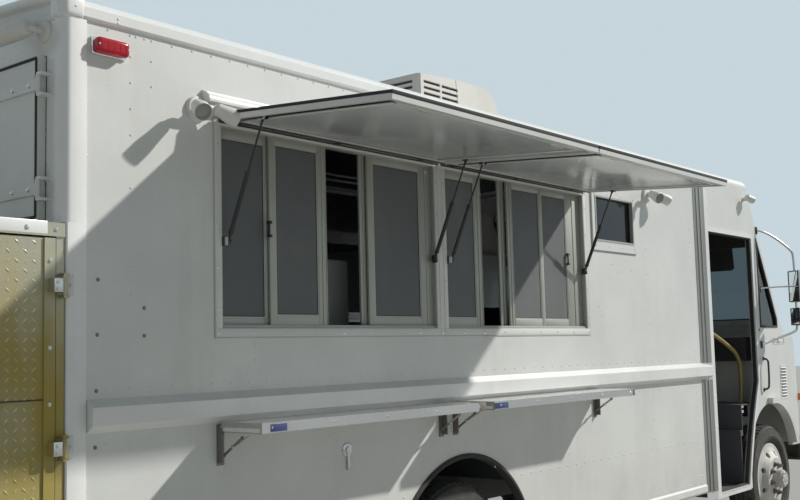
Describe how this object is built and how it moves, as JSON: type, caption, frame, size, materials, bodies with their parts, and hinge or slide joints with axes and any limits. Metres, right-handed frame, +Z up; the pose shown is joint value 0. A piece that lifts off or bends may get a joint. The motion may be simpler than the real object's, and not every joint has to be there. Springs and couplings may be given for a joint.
{
  "type": "food truck",
  "caption": "Walk-in step van turned into a food truck, with two open serving hatches on gas struts, folding shelves, a rear box, a roof cooler and a short sloped nose.",
  "frame": {"origin": "on the ground, under the middle of the box round the whole vehicle with its hatches open", "axes": "+X forward, +Y to the driver's side, +Z up"},
  "size_m": [7.77, 3.4892, 3.118],
  "materials": {
    "white_paint": "gloss",
    "bright_white": "gloss",
    "black_steel": "satin",
    "aluminium": "satin",
    "tread_plate": "satin",
    "stainless": "satin",
    "glass": "gloss",
    "lamp": "gloss",
    "white_plastic": "matt",
    "tyre": "matt",
    "iron": "rough",
    "seat": "matt",
    "dark_plastic": "matt",
    "chrome": "polished"
  },
  "bodies": {
    "body": {"chassis_frame": "black_steel", "floor": "stainless", "steps": "tread_plate", "side_wall_right": "white_paint", "side_wall_left": "white_paint", "roof": "white_paint", "body_rails": "bright_white", "rear_frame": "bright_white", "cab_shell": "white_paint", "cab_roof": "white_paint", "nose": "white_paint", "grille": "black_steel", "headlamps": "lamp", "window_frames": "aluminium", "window_glass": "glass", "front_bumper": "chrome", "rear_bumper": "black_steel", "mirrors": "aluminium", "ac_unit": "white_plastic", "floodlights": "white_plastic", "marker_lamps": "lamp", "gas_box": "tread_plate", "hatch_fittings": "bright_white", "shelf_brackets": "stainless", "counter": "stainless", "seat": "seat", "dashboard": "dark_plastic", "door_tracks": "aluminium", "fuel_tank": "black_steel", "engine": "iron", "driveline": "iron", "axle_front": "iron", "axle_rear": "iron"},
    "knuckle_right": {"knuckle_right": "iron"},
    "knuckle_left": {"knuckle_left": "iron"},
    "hood": {"hood": "white_paint"},
    "gas_box_door": {"gas_box_door": "tread_plate"},
    "rear_door_right": {"rear_door_right": "white_paint"},
    "rear_door_left": {"rear_door_left": "white_paint"},
    "cab_door_right": {"cab_door_right": "white_paint"},
    "cab_door_left": {"cab_door_left": "white_paint"},
    "front_wheel_right": {"wheel_front_right": "white_paint", "tyre_front_right": "tyre"},
    "rear_wheels_right": {"wheels_rear_right": "white_paint", "tyres_rear_right": "tyre"},
    "front_wheel_left": {"wheel_front_left": "white_paint", "tyre_front_left": "tyre"},
    "rear_wheels_left": {"wheels_rear_left": "white_paint", "tyres_rear_left": "tyre"},
    "hatch_rear": {"hatch_rear": "white_paint"},
    "strut_tubes_rear": {"strut_tubes_rear": "black_steel"},
    "strut_rods_rear": {"strut_rods_rear": "black_steel"},
    "shelf_rear": {"shelf_rear": "stainless"},
    "shelf_stays_rear": {"shelf_stays_rear": "stainless"},
    "hatch_front": {"hatch_front": "white_paint"},
    "strut_tubes_front": {"strut_tubes_front": "black_steel"},
    "strut_rods_front": {"strut_rods_front": "black_steel"},
    "shelf_front": {"shelf_front": "stainless"},
    "shelf_stays_front": {"shelf_stays_front": "stainless"}
  },
  "joints": [
    {"name": "steer_left", "type": "hinge", "parent": "body", "child": "knuckle_left", "pos_m": [3.068, 1.23965, 0.405], "axis": [0, 0, 1], "range_deg": [-30, 30]},
    {"name": "front_wheel_spin_left", "type": "hinge", "parent": "knuckle_left", "child": "front_wheel_left", "pos_m": [3.068, 1.34165, 0.405], "axis": [0, 1, 0], "continuous": true},
    {"name": "rear_wheels_spin_left", "type": "hinge", "parent": "body", "child": "rear_wheels_left", "pos_m": [-0.92, 1.02965, 0.405], "axis": [0, 1, 0], "continuous": true},
    {"name": "steer_right", "type": "hinge", "parent": "body", "child": "knuckle_right", "pos_m": [3.068, -0.66035, 0.405], "axis": [0, 0, 1], "range_deg": [-30, 30]},
    {"name": "front_wheel_spin_right", "type": "hinge", "parent": "knuckle_right", "child": "front_wheel_right", "pos_m": [3.068, -0.76235, 0.405], "axis": [0, 1, 0], "continuous": true},
    {"name": "rear_wheels_spin_right", "type": "hinge", "parent": "body", "child": "rear_wheels_right", "pos_m": [-0.92, -0.45035, 0.405], "axis": [0, 1, 0], "continuous": true},
    {"name": "hatch_rear_hinge", "type": "hinge", "parent": "body", "child": "hatch_rear", "pos_m": [-1.789, -0.91435, 2.35], "axis": [1, 0, 0], "range_deg": [-4, 85.9]},
    {"name": "strut_tubes_rear_pivot", "type": "hinge", "parent": "body", "child": "strut_tubes_rear", "pos_m": [-1.789, -0.89435, 1.87], "axis": [1, 0, 0], "range_deg": [-25.35, 2.13]},
    {"name": "strut_rods_rear_slide", "type": "slide", "parent": "strut_tubes_rear", "child": "strut_rods_rear", "axis": [0, -0.4063, 0.9137], "range_m": [-0.1912, 0.0127]},
    {"name": "shelf_rear_hinge", "type": "hinge", "parent": "body", "child": "shelf_rear", "pos_m": [-1.794, -0.90635, 1.163], "axis": [1, 0, 0], "range_deg": [0, 90]},
    {"name": "shelf_stays_rear_pivot", "type": "hinge", "parent": "body", "child": "shelf_stays_rear", "pos_m": [-1.794, -0.89435, 1.076], "axis": [1, 0, 0], "range_deg": [-1, 125]},
    {"name": "hatch_front_hinge", "type": "hinge", "parent": "body", "child": "hatch_front", "pos_m": [-0.375, -0.91435, 2.35], "axis": [1, 0, 0], "range_deg": [-4, 85.9]},
    {"name": "strut_tubes_front_pivot", "type": "hinge", "parent": "body", "child": "strut_tubes_front", "pos_m": [-0.375, -0.89435, 1.87], "axis": [1, 0, 0], "range_deg": [-25.35, 2.13]},
    {"name": "strut_rods_front_slide", "type": "slide", "parent": "strut_tubes_front", "child": "strut_rods_front", "axis": [0, -0.4063, 0.9137], "range_m": [-0.1912, 0.0127]},
    {"name": "shelf_front_hinge", "type": "hinge", "parent": "body", "child": "shelf_front", "pos_m": [-0.336, -0.90635, 1.163], "axis": [1, 0, 0], "range_deg": [0, 90]},
    {"name": "shelf_stays_front_pivot", "type": "hinge", "parent": "body", "child": "shelf_stays_front", "pos_m": [-0.336, -0.89435, 1.076], "axis": [1, 0, 0], "range_deg": [-1, 125]},
    {"name": "cab_door_right_slide", "type": "slide", "parent": "body", "child": "cab_door_right", "axis": [1, 0, 0], "range_m": [0, 0.905]},
    {"name": "cab_door_left_slide", "type": "slide", "parent": "body", "child": "cab_door_left", "axis": [-1, 0, 0], "range_m": [0, 0.905]},
    {"name": "rear_door_right_hinge", "type": "hinge", "parent": "body", "child": "rear_door_right", "pos_m": [-3.159, -0.77235, 2.19], "axis": [0, 0, 1], "range_deg": [0, 110]},
    {"name": "rear_door_left_hinge", "type": "hinge", "parent": "body", "child": "rear_door_left", "pos_m": [-3.159, 1.35165, 2.19], "axis": [0, 0, -1], "range_deg": [0, 110]},
    {"name": "gas_box_door_hinge", "type": "hinge", "parent": "body", "child": "gas_box_door", "pos_m": [-3.143, -0.90835, 1.18], "axis": [0, 0, 1], "range_deg": [0, 110]},
    {"name": "hood_hinge", "type": "hinge", "parent": "body", "child": "hood", "pos_m": [3.415, 0.28965, 1.566], "axis": [0, -1, 0], "range_deg": [0, 50]}
  ],
  "couplings": [
    {"joint": "steer_right", "follows": "steer_left", "ratio": 1},
    {"joint": "strut_tubes_rear_pivot", "follows": "hatch_rear_hinge", "ratio": -0.2835},
    {"joint": "strut_rods_rear_slide", "follows": "hatch_rear_hinge", "m_per_rad": -0.12487},
    {"joint": "shelf_stays_rear_pivot", "follows": "shelf_rear_hinge", "ratio": 1.3773},
    {"joint": "strut_tubes_front_pivot", "follows": "hatch_front_hinge", "ratio": -0.2835},
    {"joint": "strut_rods_front_slide", "follows": "hatch_front_hinge", "m_per_rad": -0.12487},
    {"joint": "shelf_stays_front_pivot", "follows": "shelf_front_hinge", "ratio": 1.3773}
  ]
}
